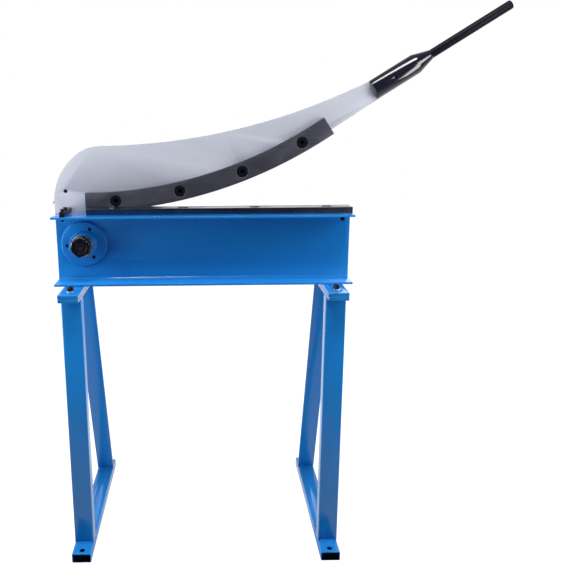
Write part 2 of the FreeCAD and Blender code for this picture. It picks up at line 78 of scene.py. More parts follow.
# Tubes: their corner edges are longer than this, and the outer ones lie in a thin outer band.
TUBE_EDGE_LENGTH = 0.3
TUBE_OUTER_BAND = 1.5 * MM
TUBE_CORNER_STEPS = 5
# Threads: rows of points in one pitch, depth of the groove and height left at the run-out.
THREAD_ROWS = 6
THREAD_DEPTH = 0.54
THREAD_RUN_OUT = 0.35
# Weld beads, as parts of the leg: toe and belly of the section, and how far a ripple trails.
BEAD_ARC_STEPS = 6
BEAD_TOE = 0.72
BEAD_BELLY = 0.26
RIPPLE_STEPS = 3
RIPPLE_TRAIL = 0.45
STRAIGHT_RIPPLE = 0.045
ROUND_RIPPLE = 0.06
# How deep the back of a bead lies inside the plates that it joins.
BEAD_ROOT = 0.1


# ------------------------------------------------------------------ settings
def colour(name, description, value):
    """A colour the user can change."""
    return FloatVectorProperty(name=name, description=description, subtype="COLOR", size=3,
                               min=0, max=1, default=value)


def length(name, description, value):
    """A length the user can change."""
    return FloatProperty(name=name, description=description, unit="LENGTH", subtype="DISTANCE",
                         min=0, default=value, precision=5)


def amount(name, description, value, high=1):
    """A plain amount the user can change."""
    return FloatProperty(name=name, description=description, subtype="FACTOR", min=0, max=high,
                         default=value)


def power(name, description, value):
    """The power of a light the user can change."""
    return FloatProperty(name=name, description=description, subtype="POWER", unit="POWER", min=0,
                         default=value)


class ShearColours(bpy.types.PropertyGroup):
    """Colours of the finishes."""
    enamel: colour("Enamel", "Gloss enamel of the bed and the stand", (0.009, 0.198, 0.590))
    arm_paint: colour("Arm paint", "Pale grey paint of the arm plate", (0.435, 0.455, 0.525))
    blade: colour("Blade steel", "Ground steel of the curved blade", (0.082, 0.081, 0.108))
    bed_blade: colour("Bed blade steel", "Oiled steel of the straight blade", (0.088, 0.096, 0.135))
    oxide: colour("Black oxide", "Blackened screws and nuts", (0.018, 0.018, 0.028))
    handle: colour("Handle enamel", "Gloss black of the lever", (0.007, 0.007, 0.017))
    zinc: colour("Zinc plate", "Bright washers and edge screw", (0.620, 0.625, 0.640))
    bronze: colour("Bronze", "Bearing bushes", (0.480, 0.300, 0.130))
    # Lighter blue laid on the outside edges of the enamel: a painted highlight along the edges,
    # with a little rubbed paint.
    primer_and_highlight: colour("Primer and edge highlight", "Thin paint at rubbed edges", (0.090, 0.320, 0.720))


class ShearSizes(bpy.types.PropertyGroup):
    """Sizes of the small finishing details."""
    sheared_edge: length("Plate edge", "Rounding of cut plate and bar edges", 0.0009)
    tube_corner: length("Tube corner", "Outside corner radius of the drawn tube", 0.0035)
    ground_edge: length("Ground edge", "Fine rounding of ground and turned edges", 0.0004)
    bed_bead: length("Bed weld", "Leg of the weld beads along the web", 0.0038)
    stand_bead: length("Stand weld", "Leg of the weld beads on the stand", 0.0040)
    bead_pitch: length("Weld ripple", "Distance between the ripples of a weld bead", 0.0042)
    thread_pitch: length("Thread pitch", "Pitch of the screw threads that show", 0.0020)


class ShearStudio(bpy.types.PropertyGroup):
    """Light and floor of the studio."""
    left_light: power("Left light", "Power of the left soft light", 10)
    right_light: power("Right light", "Power of the right soft light", 11)
    key_light: power("Key light", "Power of the high soft light in front", 56)
    room_front: amount("Room in front", "Brightness of the room behind the viewer", 0.05, 4)
    room_back: amount("Room behind", "Brightness of the white backdrop behind the shear", 1.5, 4)
    floor: colour("Floor", "Plain pale floor", (0.25, 0.25, 0.25))
    floor_lift: amount("Floor lift", "Brightness that the floor adds for the camera", 1.0, 2)
    floor_behind: amount("Floor behind", "Brightness of the floor near the backdrop", 0.9, 2)
    lens: FloatProperty(name="Lens", description="Focal length in millimetres", min=10,
                        default=43.52)


# ------------------------------------------------------------------ mesh tools
def shown(mesh, name, material):
    """Put a mesh in the scene under a piece's name and give it one material."""
    piece = bpy.data.objects.new(name, mesh)
    bpy.context.scene.collection.objects.link(piece)
    mesh.name = name
    mesh.materials.clear()
    mesh.materials.append(material)
    for face in mesh.polygons:
        face.material_index = 0
        face.use_smooth = True
    return piece


def settle(piece, body, nodes=()):
    """Hang the piece on its body and hide the frame nodes it stands for."""
    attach(piece, body)
    if nodes:
        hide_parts(*nodes)
    return piece


def soften(piece, width, segments=2, limit=30):
    """Round the sharp edges of a piece and keep its flat faces flat."""
    rounding = piece.modifiers.new("Rounded edges", "BEVEL")
    rounding.width = width
    rounding.segments = segments
    rounding.limit_method = "ANGLE"
    rounding.angle_limit = math.radians(limit)
    rounding.use_clamp_overlap = False
    rounding.harden_normals = True
    rounding.miter_outer = "MITER_ARC"
    return rounding


def node_mesh(node):
    """A clean mesh of one frame node: shared points joined, flat faces whole."""
    shape = bmesh.new()
    shape.from_mesh(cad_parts[node].data)
    bmesh.ops.remove_doubles(shape, verts=shape.verts, dist=SHARED_POINT_GAP)
    bmesh.ops.dissolve_limit(shape, angle_limit=FLAT_FACE_ANGLE, verts=shape.verts,
                             edges=shape.edges)
    return shape


def put_in_scene(shape, name, material):
    """Turn a finished working mesh into a piece."""
    mesh = bpy.data.meshes.new(name)
    shape.to_mesh(mesh)
    shape.free()
    return shown(mesh, name, material)


def long_corners(shape, axis):
    """Edges of a tube that run along an axis, inside and outside."""
    found = []
    for edge in shape.edges:
        run = edge.verts[1].co - edge.verts[0].co
        along = abs(run.normalized().dot(axis)) > 0.999
        if along and run.length > TUBE_EDGE_LENGTH and len(edge.link_faces) == 2:
            if edge.calc_face_angle(0) > 1:
                found.append(edge)
    return found


def outer_only(edges, shape, axis):
    """Of a tube's long edges, those on its outside."""
    middle = sum((v.co for v in shape.verts), Vector()) / len(shape.verts)
    flat = Vector((1, 1, 1)) - axis

    def off(edge):
        away = (edge.verts[0].co - middle) * flat
        return away.length

    reach = max(off(edge) for edge in edges)
    return [edge for edge in edges if off(edge) > reach - TUBE_OUTER_BAND]


def finished(name, node, material, width, tube_axis=None, corner=0):
    """A piece made from a frame node, with its edges rounded as they are on the real thing."""
    shape = node_mesh(node)
    if tube_axis:
        corners = outer_only(long_corners(shape, tube_axis), shape, tube_axis)
        bmesh.ops.bevel(shape, geom=corners, offset=corner, segments=TUBE_CORNER_STEPS,
                        profile=0.5, affect="EDGES")
    piece = put_in_scene(shape, name, material)
    soften(piece, width)
    return piece


def square_to(axis):
    """Two directions square to an axis."""
    side = axis.orthogonal().normalized()
    return side, axis.cross(side).normalized()


def turned(name, profile, start, axis, material, steps):
    """Turn a closed outline of (radius, distance along the axis) into a round piece."""
    side, other = square_to(axis)
    shape = bmesh.new()
    rings = []
    for radius, along in profile:
        centre = start + axis * along
        if radius == 0:
            rings.append([shape.verts.new(centre)])
            continue
        ring = []
        for k in range(steps):
            a = math.tau * k / steps
            outward = side * math.cos(a) + other * math.sin(a)
            ring.append(shape.verts.new(centre + outward * radius))
        rings.append(ring)
    for first, second in zip(rings, rings[1:] + rings[:1]):
        join_rings(shape, first, second)
    bmesh.ops.recalc_face_normals(shape, faces=shape.faces)
    return put_in_scene(shape, name, material)


def join_rings(shape, first, second):
    """Faces between two rings of points, either of which may be a single point."""
    count = max(len(first), len(second))
    if len(first) == len(second) == 1:
        return
    for k in range(count):
        n = (k + 1) % count
        if len(first) == 1:
            shape.faces.new((first[0], second[k], second[n]))
        elif len(second) == 1:
            shape.faces.new((first[k], second[0], first[n]))
        else:
            shape.faces.new((first[k], second[k], second[n], first[n]))


def threads(shape, start, axis, radius, run, pitch, steps):
    """Add a closed threaded stub to a mesh."""
    side, other = square_to(axis)
    rows = int(run / pitch * THREAD_ROWS)
    depth = THREAD_DEPTH * pitch
    rings = []
    for row in range(rows + 1):
        along = run * row / rows
        ring = []
        for k in range(steps):
            turn = k / steps
            phase = (along / pitch - turn) % 1
            crest = abs(2 * phase - 1)
            fade = min(1, (run - along) / pitch + THREAD_RUN_OUT)
            r = radius - depth * (1 - crest * fade)
            a = math.tau * turn
            outward = side * math.cos(a) + other * math.sin(a)
            ring.append(shape.verts.new(start + axis * along + outward * r))
        rings.append(ring)
    for first, second in zip(rings, rings[1:]):
        join_rings(shape, first, second)
    shape.faces.new(list(reversed(rings[0])))
    shape.faces.new(rings[-1])


def bead_section(angle, travelled, height):
    """How far a bead's face stands from its root, in legs; ripples trail in its middle."""
    bulge = BEAD_TOE + BEAD_BELLY * abs(math.cos(2 * angle)) ** 1.2
    lag = RIPPLE_TRAIL * math.sin(2 * angle)
    return bulge + math.sin(math.tau * (travelled - lag)) * height


def bead(shape, start, end, toward_a, toward_b, leg, pitch, dice):
    """Add one fillet weld bead with its ripples to a mesh, between two plates that meet."""
    run = end - start
    along = run.normalized()
    count = max(8, int(run.length / pitch * RIPPLE_STEPS))
    inside = (toward_a + toward_b) * -BEAD_ROOT * leg
    start_size, tapered_end = 0.45, 0.005
    rings = []
    size = 1.0
    for i in range(count + 1):
        t = i / count
        size += dice.uniform(-0.03, 0.03) + (1.0 - size) * 0.12
        ends = min(1, start_size + min(t, 1 - t) * run.length / tapered_end)
        ring = [shape.verts.new(start + run * t + inside)]
        for k in range(BEAD_ARC_STEPS + 1):
            a = math.pi / 2 * k / BEAD_ARC_STEPS
            r = leg * ends * size * bead_section(a, t * run.length / pitch, STRAIGHT_RIPPLE)
            shift = along * (0.25 * pitch * math.sin(2 * a) * ends)
            if i in (0, count):
                shift = Vector()
            outward = toward_a * math.cos(a) + toward_b * math.sin(a)
            ring.append(shape.verts.new(start + run * t + shift + outward * r))
        rings.append(ring)
    for first, second in zip(rings, rings[1:]):
        join_rings(shape, first, second)
    shape.faces.new(rings[0])
    shape.faces.new(list(reversed(rings[-1])))


def round_bead(shape, centre, radius, axis, leg, pitch, dice):
    """Add a ring of weld around a disc that stands on a plate."""
    side, other = square_to(axis)
    count = int(math.tau * radius / pitch) * RIPPLE_STEPS
    rings = []
    size = 1.0
    for i in range(count):
        turn = math.tau * i / count
        outward = side * math.cos(turn) + other * math.sin(turn)
        size += dice.uniform(-0.04, 0.04) + (1.0 - size) * 0.15
        root = outward * (radius - 1.5 * BEAD_ROOT * leg) - axis * BEAD_ROOT * leg
        ring = [shape.verts.new(centre + root)]
        for k in range(BEAD_ARC_STEPS + 1):
            a = math.pi / 2 * k / BEAD_ARC_STEPS
            r = leg * size * bead_section(a, radius * turn / pitch, ROUND_RIPPLE)
            face = outward * (radius + math.cos(a) * r) + axis * math.sin(a) * r
            ring.append(shape.verts.new(centre + face))
        rings.append(ring)
    for first, second in zip(rings, rings[1:] + rings[:1]):
        join_rings(shape, first, second)


def mesh_piece(name, build, material):
    """A piece whose mesh is made by a function that fills an empty one."""
    shape = bmesh.new()
    build(shape)
    bmesh.ops.recalc_face_normals(shape, faces=shape.faces)
    return put_in_scene(shape, name, material)


# ------------------------------------------------------------------ shader groups
def new_group(name, inputs, outputs):
    """An empty shader group with named sockets; inputs are (name, kind, default)."""
    group = bpy.data.node_groups.new(name, "ShaderNodeTree")
    for label, kind, default in inputs:
        socket = group.interface.new_socket(label, in_out="INPUT",
                                            socket_type="NodeSocket" + kind)
        if default is not None:
            socket.default_value = default
    for label, kind in outputs:
        group.interface.new_socket(label, in_out="OUTPUT", socket_type="NodeSocket" + kind)
    return group, group.nodes.new("NodeGroupInput"), group.nodes.new("NodeGroupOutput")


def add(tree, kind, settings=None, **inputs):
    """Add a shader node; inputs are values or the sockets that feed them, by socket name."""
    node = tree.nodes.new("ShaderNode" + kind)
    for key, value in (settings or {}).items():
        setattr(node, key, value)
    for key, value in inputs.items():
        feed(tree, node, key.replace("_", " "), value)
    return node


def feed(tree, node, key, value):
    """Set an input socket, by name or number, to a value or link it to an output socket."""
    socket = node.inputs[key]
    if isinstance(value, bpy.types.NodeSocket):
        tree.links.new(value, socket)
    else:
        socket.default_value = value


def sums(tree, operation, a, b):
    """The result of a Math node on two values or sockets."""
    node = add(tree, "Math", {"operation": operation})
    feed(tree, node, 0, a)
    feed(tree, node, 1, b)
    return node.outputs[0]


def span(tree, value, low, high, to_low=0.0, to_high=1.0):
    """Stretch a value from one range to another, held at both ends."""
    node = add(tree, "MapRange", None, Value=value)
    limits = (("From Min", low), ("From Max", high), ("To Min", to_low), ("To Max", to_high))
    for key, number in limits:
        feed(tree, node, key, number)
    return node.outputs["Result"]


def blend_colours(tree, mask, under, over):
    """Mix two colours by a mask."""
    node = add(tree, "Mix", {"data_type": "RGBA"})
    for index, value in ((0, mask), (6, under), (7, over)):
        feed(tree, node, index, value)
    return node.outputs[2]


def edge_wear_and_highlight_group():
    """Mask of outside edges, broken up so that it is never an even line: rubbed edges, and where
    the edge colour is lighter than the surface (blue enamel, nut) a painted highlight.
    """
    group, given, result = new_group(
        "Edge wear and highlight",
        [("Vector", "Vector", None), ("Radius", "Float", 0.0015), ("Amount", "Float", 0.5)],
        [("Mask", "Float")])
    bevel = add(group, "Bevel", {"samples": 4}, Radius=given.outputs["Radius"])
    plain = add(group, "NewGeometry")
    lean = add(group, "VectorMath", {"operation": "DOT_PRODUCT"})
    group.links.new(bevel.outputs[0], lean.inputs[0])
    group.links.new(plain.outputs["Normal"], lean.inputs[1])
    turned_away = sums(group, "SUBTRACT", 1.0, lean.outputs["Value"])
    patches = add(group, "TexNoise", None, Vector=given.outputs["Vector"], Scale=38.0, Detail=5.0,
                  Roughness=0.62)
    broken = span(group, patches.outputs[0], 0.46, 0.68)
    edge = span(group, turned_away, 0.02, 0.22)
    worn = sums(group, "MULTIPLY", edge, broken)
    group.links.new(sums(group, "MULTIPLY", worn, given.outputs["Amount"]), result.inputs["Mask"])
    return group


def peel_group():
    """Orange peel of sprayed enamel, and slow waves where it has flowed."""
    group, given, result = new_group(
        "Orange peel", [("Vector", "Vector", None), ("Scale", "Float", 420.0)],
        [("Height", "Float"), ("Cloud", "Float")])
    fine = add(group, "TexNoise", None, Vector=given.outputs["Vector"],
               Scale=given.outputs["Scale"], Detail=2.0, Roughness=0.45)
    slow = add(group, "TexNoise", None, Vector=given.outputs["Vector"], Scale=9.0, Detail=3.0,
               Roughness=0.5)
    wave = sums(group, "MULTIPLY", slow.outputs[0], 2.2)
    group.links.new(sums(group, "ADD", fine.outputs[0], wave), result.inputs["Height"])
    group.links.new(slow.outputs[0], result.inputs["Cloud"])
    return group


def grain_group():
    """Fine parallel grinding marks along one direction."""
    group, given, result = new_group(
        "Grinding marks",
        [("Vector", "Vector", None), ("Stretch", "Vector", (12.0, 900.0, 900.0))],
        [("Marks", "Float"), ("Mottle", "Float")])
    laid = add(group, "VectorMath", {"operation": "MULTIPLY"})
    group.links.new(given.outputs["Vector"], laid.inputs[0])
    group.links.new(given.outputs["Stretch"], laid.inputs[1])
    lines = add(group, "TexNoise", None, Vector=laid.outputs[0], Scale=1.0, Detail=4.0,
                Roughness=0.6)
    cloud = add(group, "TexNoise", None, Vector=given.outputs["Vector"], Scale=26.0, Detail=6.0,
                Roughness=0.62, Distortion=0.3)
    group.links.new(span(group, lines.outputs[0], 0.3, 0.7), result.inputs["Marks"])
    group.links.new(span(group, cloud.outputs[0], 0.3, 0.72), result.inputs["Mottle"])
    return group


def dust_group():
    """Dust that settles on faces that look upwards, and faint finger marks elsewhere."""
    group, given, result = new_group(
        "Dust and marks", [("Vector", "Vector", None), ("Amount", "Float", 0.3)],
        [("Dust", "Float"), ("Marks", "Float")])
    facing = add(group, "NewGeometry")
    parts = add(group, "SeparateXYZ")
    group.links.new(facing.outputs["Normal"], parts.inputs[0])
    up = span(group, parts.outputs["Z"], 0.5, 1.0)
    specks = add(group, "TexNoise", None, Vector=given.outputs["Vector"], Scale=120.0, Detail=6.0,
                 Roughness=0.7)
    settled = sums(group, "MULTIPLY", up, span(group, specks.outputs[0], 0.4, 0.8))
    smear = add(group, "TexNoise", None, Vector=given.outputs["Vector"], Scale=14.0, Detail=5.0,
                Roughness=0.66, Distortion=0.8)
    dust = sums(group, "MULTIPLY", settled, given.outputs["Amount"])
    group.links.new(dust, result.inputs["Dust"])
    group.links.new(span(group, smear.outputs[0], 0.42, 0.72), result.inputs["Marks"])
    return group


def use_group(tree, group, **inputs):
    """Place a shader group in a material."""
    node = tree.nodes.new("ShaderNodeGroup")
    node.node_tree = group
    for key, value in inputs.items():
        feed(tree, node, key, value)
    return node


# ------------------------------------------------------------------ finishes
FINISH_NAMES = {
    "blue": "Blue enamel",
    "weld": "Enamel over weld",
    "grey": "Pale grey paint",
    "gloss": "Black lever enamel",
    "satin": "Satin black bar",
    "nut": "Oiled black nut",
    # The darkened black below is painted shade of the holes that its screws sit in.
    "shaded_black": "Blackened steel darkened as painted shade",
    "blade": "Ground blade steel",
    "bed_blade": "Oiled blade steel",
    "oxide": "Black oxide",
    "zinc": "Bright zinc",
    "bronze": "Bearing bronze",
}
# How finely the marks are drawn along x, y and z: long along a blade, even on small parts.
ALONG_BLADE = (7.0, 420.0, 420.0)
SMALL_PART = (260.0, 260.0, 260.0)
PLATED_PART = (300.0, 300.0, 300.0)
TURNED_PART = (300.0, 20.0, 300.0)
DUST_TONE = (0.55, 0.54, 0.52, 1)


def start_finish(key):
    """A new material: its tree, its shader and the piece's own coordinates."""
    material = bpy.data.materials.new(FINISH_NAMES[key])
    material.use_nodes = True
    tree = material.node_tree
    shader = tree.nodes["Principled BSDF"]
    place = tree.nodes.new("ShaderNodeTexCoord").outputs["Object"]
    return tree, shader, place


def shade(tone, factor=1.0):
    """A colour made lighter or darker, with its alpha."""
    return tuple(min(1.0, c * factor) for c in tone) + (1.0,)


def paint(groups, key, tone, primer_and_highlight, rough, wear_and_highlight, peel=0.05, coat=0.25, variation=0.04,
          scale=420.0, gloss=0.5):
    """Sprayed enamel with orange peel, slow tone changes, settled dust and an edge colour that
    stands for rubbed paint and, on the blue enamel, a painted highlight.
    """
    tree, shader, place = start_finish(key)
    skin = use_group(tree, groups["peel"], Vector=place, Scale=scale)
    rub_and_highlight = use_group(tree, groups["wear_and_highlight"], Vector=place, Radius=0.0012, Amount=wear_and_highlight)
    dirt = use_group(tree, groups["dust"], Vector=place, Amount=0.04)
    base = blend_colours(tree, skin.outputs["Cloud"], shade(tone, 1 - variation),
                         shade(tone, 1 + variation))
    # Outside edges take the edge colour: rubbed paint, and on the blue enamel a lighter blue that
    # is a painted highlight.
    base = blend_colours(tree, rub_and_highlight.outputs["Mask"], base, shade(primer_and_highlight))
    base = blend_colours(tree, dirt.outputs["Dust"], base, DUST_TONE)
    feed(tree, shader, "Base Color", base)
    feed(tree, shader, "Roughness", span(tree, dirt.outputs["Marks"], 0, 1, rough, rough + 0.09))
    bump = add(tree, "Bump", None, Strength=peel, Distance=0.0004, Height=skin.outputs["Height"])
    feed(tree, shader, "Normal", bump.outputs[0])
    shader.inputs["Specular IOR Level"].default_value = gloss
    shader.inputs["Coat Weight"].default_value = coat
    shader.inputs["Coat Roughness"].default_value = 0.08


def steel(groups, key, tone, rough, stretch, wear_and_highlight, metal=1.0, bump_strength=0.12, contrast=0.22,
          bright_edge_and_glint=(0.6, 0.6, 0.6), wear_and_glint_radius=0.0008):
    """Bare or blackened steel with grinding marks, mottling and lighter edges: rubbed steel, and on
    the nut painted glints as well.
    """
    tree, shader, place = start_finish(key)
    grain = use_group(tree, groups["grain"], Vector=place, Stretch=stretch)
    rub_and_highlight = use_group(tree, groups["wear_and_highlight"], Vector=place, Radius=wear_and_glint_radius, Amount=wear_and_highlight)
    dirt = use_group(tree, groups["dust"], Vector=place, Amount=0.05)
    streak = sums(tree, "ADD", sums(tree, "MULTIPLY", grain.outputs["Marks"], 0.45),
                  sums(tree, "MULTIPLY", grain.outputs["Mottle"], 0.55))
    base = blend_colours(tree, streak, shade(tone, 1 - contrast), shade(tone, 1 + contrast))
    # Outside edges take the lighter edge colour: rubbed steel, and on the nut painted glints on its
    # chamfers.
    base = blend_colours(tree, rub_and_highlight.outputs["Mask"], base, shade(bright_edge_and_glint))
    feed(tree, shader, "Base Color", base)
    ground = span(tree, grain.outputs["Marks"], 0, 1, rough - 0.05, rough + 0.05)
    handled = sums(tree, "MULTIPLY", dirt.outputs["Marks"], 0.07)
    feed(tree, shader, "Roughness", sums(tree, "ADD", ground, handled))
    bump = add(tree, "Bump", None, Strength=bump_strength, Distance=0.0002,
               Height=grain.outputs["Marks"])
    feed(tree, shader, "Normal", bump.outputs[0])
    shader.inputs["Metallic"].default_value = metal


def finishes():
    """Every finish of the shear, built once and found by name afterwards."""
    if FINISH_NAMES["blue"] not in bpy.data.materials:
        make_finishes(bpy.context.scene.shear_colours)
    return {key: bpy.data.materials[name] for key, name in FINISH_NAMES.items()}


def make_finishes(tones):
    """Build the shader groups and every finish from the chosen colours."""
    groups = {"wear_and_highlight": edge_wear_and_highlight_group(), "peel": peel_group(), "grain": grain_group(),
              "dust": dust_group()}
    primer_and_highlight = tuple(tones.primer_and_highlight)
    satin = [c * 0.6 for c in tones.handle]
    # Screws sunk in holes and countersinks: the black oxide darkened to four tenths, painted shade
    # of their recesses.
    shaded_oxide = [c * 0.4 for c in tones.oxide]
    # The blue enamel's lighter edge colour is a painted highlight along its edges.
    paint(groups, "blue", tones.enamel, primer_and_highlight, rough=0.15, wear_and_highlight=0.30, gloss=0.4)
    paint(groups, "weld", tones.enamel, primer_and_highlight, rough=0.50, wear_and_highlight=0.05, peel=0.10, coat=0.0,
          gloss=0.05)
    paint(groups, "grey", tones.arm_paint, (0.42, 0.44, 0.48), rough=0.36, wear_and_highlight=0.20, coat=0.15,
          variation=0.02)
    paint(groups, "gloss", tones.handle, (0.06, 0.06, 0.08), rough=0.13, wear_and_highlight=0.15, peel=0.03,
          coat=0.1, variation=0.2, scale=300.0, gloss=0.75)
    paint(groups, "satin", satin, (0.05, 0.05, 0.06), rough=0.40, wear_and_highlight=0.15, coat=0.0, gloss=0.08,
          variation=0.2, scale=500.0)
    # Darkened black for the sunk screws, painted shade of their holes.
    paint(groups, "shaded_black", shaded_oxide, (0.03, 0.03, 0.04), rough=0.55, wear_and_highlight=0.40, coat=0.0,
          variation=0.3, scale=900.0, gloss=0.0)
    steel(groups, "blade", tones.blade, rough=0.42, stretch=ALONG_BLADE, wear_and_highlight=0.55, metal=0.55,
          contrast=0.30, bright_edge_and_glint=(0.5, 0.5, 0.52))
    steel(groups, "bed_blade", tones.bed_blade, rough=0.30, stretch=ALONG_BLADE, wear_and_highlight=0.45,
          bright_edge_and_glint=(0.3, 0.3, 0.34))
    steel(groups, "oxide", tones.oxide, rough=0.34, stretch=SMALL_PART, wear_and_highlight=0.35, metal=0.7,
          bump_strength=0.08, bright_edge_and_glint=(0.22, 0.22, 0.24))
    # The nut's edges are pale steel all round: worn edges and painted glints on its chamfers.
    steel(groups, "nut", tones.oxide, rough=0.16, stretch=SMALL_PART, wear_and_highlight=1.0, metal=0.8,
          bump_strength=0.05, bright_edge_and_glint=(0.85, 0.85, 0.85), wear_and_glint_radius=0.0018)
    steel(groups, "zinc", tones.zinc, rough=0.26, stretch=PLATED_PART, wear_and_highlight=0.2,
          bump_strength=0.05, contrast=0.08, bright_edge_and_glint=(0.8, 0.8, 0.8))
    steel(groups, "bronze", tones.bronze, rough=0.32, stretch=TURNED_PART, wear_and_highlight=0.2,
          bump_strength=0.06, contrast=0.12, bright_edge_and_glint=(0.8, 0.6, 0.35))


class PieceOperator(bpy.types.Operator):
    """Shared steps of the operators that make pieces."""
    bl_options = {"REGISTER", "UNDO"}

    def begin(self, context):
        """Read the settings and the finishes."""
        self.sizes = context.scene.shear_sizes
        self.finish = finishes()

    def make(self, name, node, key, width, body, **tube):
        """One finished piece that stands for one frame node."""
        piece = finished(name, node, self.finish[key], width, **tube)
        return settle(piece, body, [node])

    def extra(self, name, build, key, body):
        """One added piece that stands for no frame node."""
        return settle(mesh_piece(name, build, self.finish[key]), body)


# ------------------------------------------------------------------ stand
class SHEAR_OT_stand(PieceOperator):
    """Floor rails, legs, cross bars and their weld beads"""
    bl_idname = "shear.stand"
    bl_label = "Stand"

    def execute(self, context):
        self.begin(context)
        corner = self.sizes.tube_corner
        edge = self.sizes.sheared_edge
        for number, side in enumerate(SIDES):
            self.make("floor_tube_" + side, "floor_rail_" + side, "blue", 0.6 * edge, STAND,
                      tube_axis=Y, corner=corner)
            self.make("upright_tube_" + side, "front_leg_" + side, "blue", 0.6 * edge, STAND,
                      tube_axis=Z, corner=corner)
            self.make("brace_bar_" + side, "rear_leg_" + side, "blue", edge, STAND)
            self.make("lower_cross_bar_" + side, "stand_bar_" + side, "blue", 1.7 * edge, STAND)
            self.make("upper_cross_bar_" + side, "foot_bar_" + side, "blue", 1.7 * edge, STAND)
            self.extra("stand_welds_" + side,
                       lambda shape, s=side, n=number: self.welds(shape, s, n), "weld", STAND)
        return {"FINISHED"}

    def welds(self, shape, side, number):
        """Beads across the ends of the upright, the brace and under the bed's foot."""
        dice = random.Random(41 + number)
        leg = self.sizes.stand_bead
        pitch = self.sizes.bead_pitch
        low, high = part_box("front_leg_" + side)
        inset = 5 * MM
        left, right = low.x + inset, high.x - inset
        bar_low, bar_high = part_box("stand_bar_" + side)
        top_left, top_right = max(left, bar_low.x + inset), min(right, bar_high.x - inset)

        def across(x0, x1, y, z, away, up):
            """A bead from left to right."""
            bead(shape, Vector((x0, y, z)), Vector((x1, y, z)), away, up, leg, pitch, dice)

        for y, away in ((low.y, -Y), (high.y, Y)):
            across(left, right, y, low.z, away, Z)
            across(top_left, top_right, y, high.z, away, -Z)
        brace = [v.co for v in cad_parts["rear_leg_" + side].data.vertices]
        low_z, high_z = min(v.z for v in brace), max(v.z for v in brace)
        for z, up, x0, x1 in ((low_z, Z, left, right), (high_z, -Z, top_left, top_right)):
            ends = [v.y for v in brace if abs(v.z - z) < MM]
            for y, away in ((min(ends), -Y), (max(ends), Y)):
                across(x0, x1, y, z, away, up)
        foot_low, foot_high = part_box("foot_bar_" + side)
        foot_inset = 12 * MM
        for x, away in ((foot_low.x, -X), (foot_high.x, X)):
            bead(shape, Vector((x, BED_LOW.y + foot_inset, BED_LOW.z)),
                 Vector((x, BED_HIGH.y - foot_inset, BED_LOW.z)), away, -Z, leg, pitch, dice)


class SHEAR_OT_bed_fasteners(PieceOperator):
    """Studs, nuts and washers that hold the bed on the stand"""
    bl_idname = "shear.bed_fasteners"
    bl_label = "Bed fasteners"

    def execute(self, context):
        self.begin(context)
        self.make("bed_nuts", "stand_nuts", "oxide", 1.2 * self.sizes.ground_edge, STAND)
        self.studs()
        self.make("bed_washers", "stand_washers", "zinc", 0.7 * self.sizes.ground_edge, STAND)
        return {"FINISHED"}

    def studs(self):
        """Threaded studs in place of the plain ones."""
        low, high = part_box("stand_studs")
        radius, sides = 6 * MM, 32
        pitch = self.sizes.thread_pitch
        places = [(x, y) for x in (low.x + radius, high.x - radius)
                  for y in (low.y + radius, high.y - radius)]

        def build(shape):
            for x, y in places:
                threads(shape, Vector((x, y, low.z)), Z, radius, high.z - low.z, pitch, sides)

        piece = mesh_piece("bed_studs", build, self.finish["oxide"])
        settle(piece, STAND, ["stand_studs"])


# ------------------------------------------------------------------ bed
class SHEAR_OT_bed(PieceOperator):
    """Welded bed beam and the rippled beads between its plates"""
    bl_idname = "shear.bed"
    bl_label = "Bed beam"

    def execute(self, context):
        self.begin(context)
        self.make("bed_beam_plates", "bed_beam", "blue", 0.7 * self.sizes.sheared_edge, STAND)
        self.make("web_plug_screws", "web_plugs", "shaded_black", 0.7 * self.sizes.ground_edge, STAND)
        self.extra("bed_welds", self.welds, "weld", STAND)
        return {"FINISHED"}

    def welds(self, shape):
        """Four beads where the web meets the two flanges."""
        dice = random.Random(7)
        bead_root = 6.5 * MM
        inset = 4 * MM
        left, right = BED_LOW.x + inset, BED_HIGH.x - inset
        for z, up in ((BED_HIGH.z - bead_root, -Z), (BED_LOW.z + bead_root, Z)):
            for y, away in ((WEB_FRONT, -Y), (WEB_REAR, Y)):
                bead(shape, Vector((left, y, z)), Vector((right, y, z)), away, up,
                     self.sizes.bed_bead, self.sizes.bead_pitch, dice)


class SHEAR_OT_lower_blade(PieceOperator):
    """Straight lower blade and its countersunk screws"""
    bl_idname = "shear.lower_blade"
    bl_label = "Lower blade"

    def execute(self, context):
        self.begin(context)
        fine = self.sizes.ground_edge
        self.make("bed_blade", "lower_blade", "bed_blade", fine, STAND)
        self.make("bed_blade_screws", "lower_blade_screws", "shaded_black", 0.5 * fine, STAND)
        return {"FINISHED"}


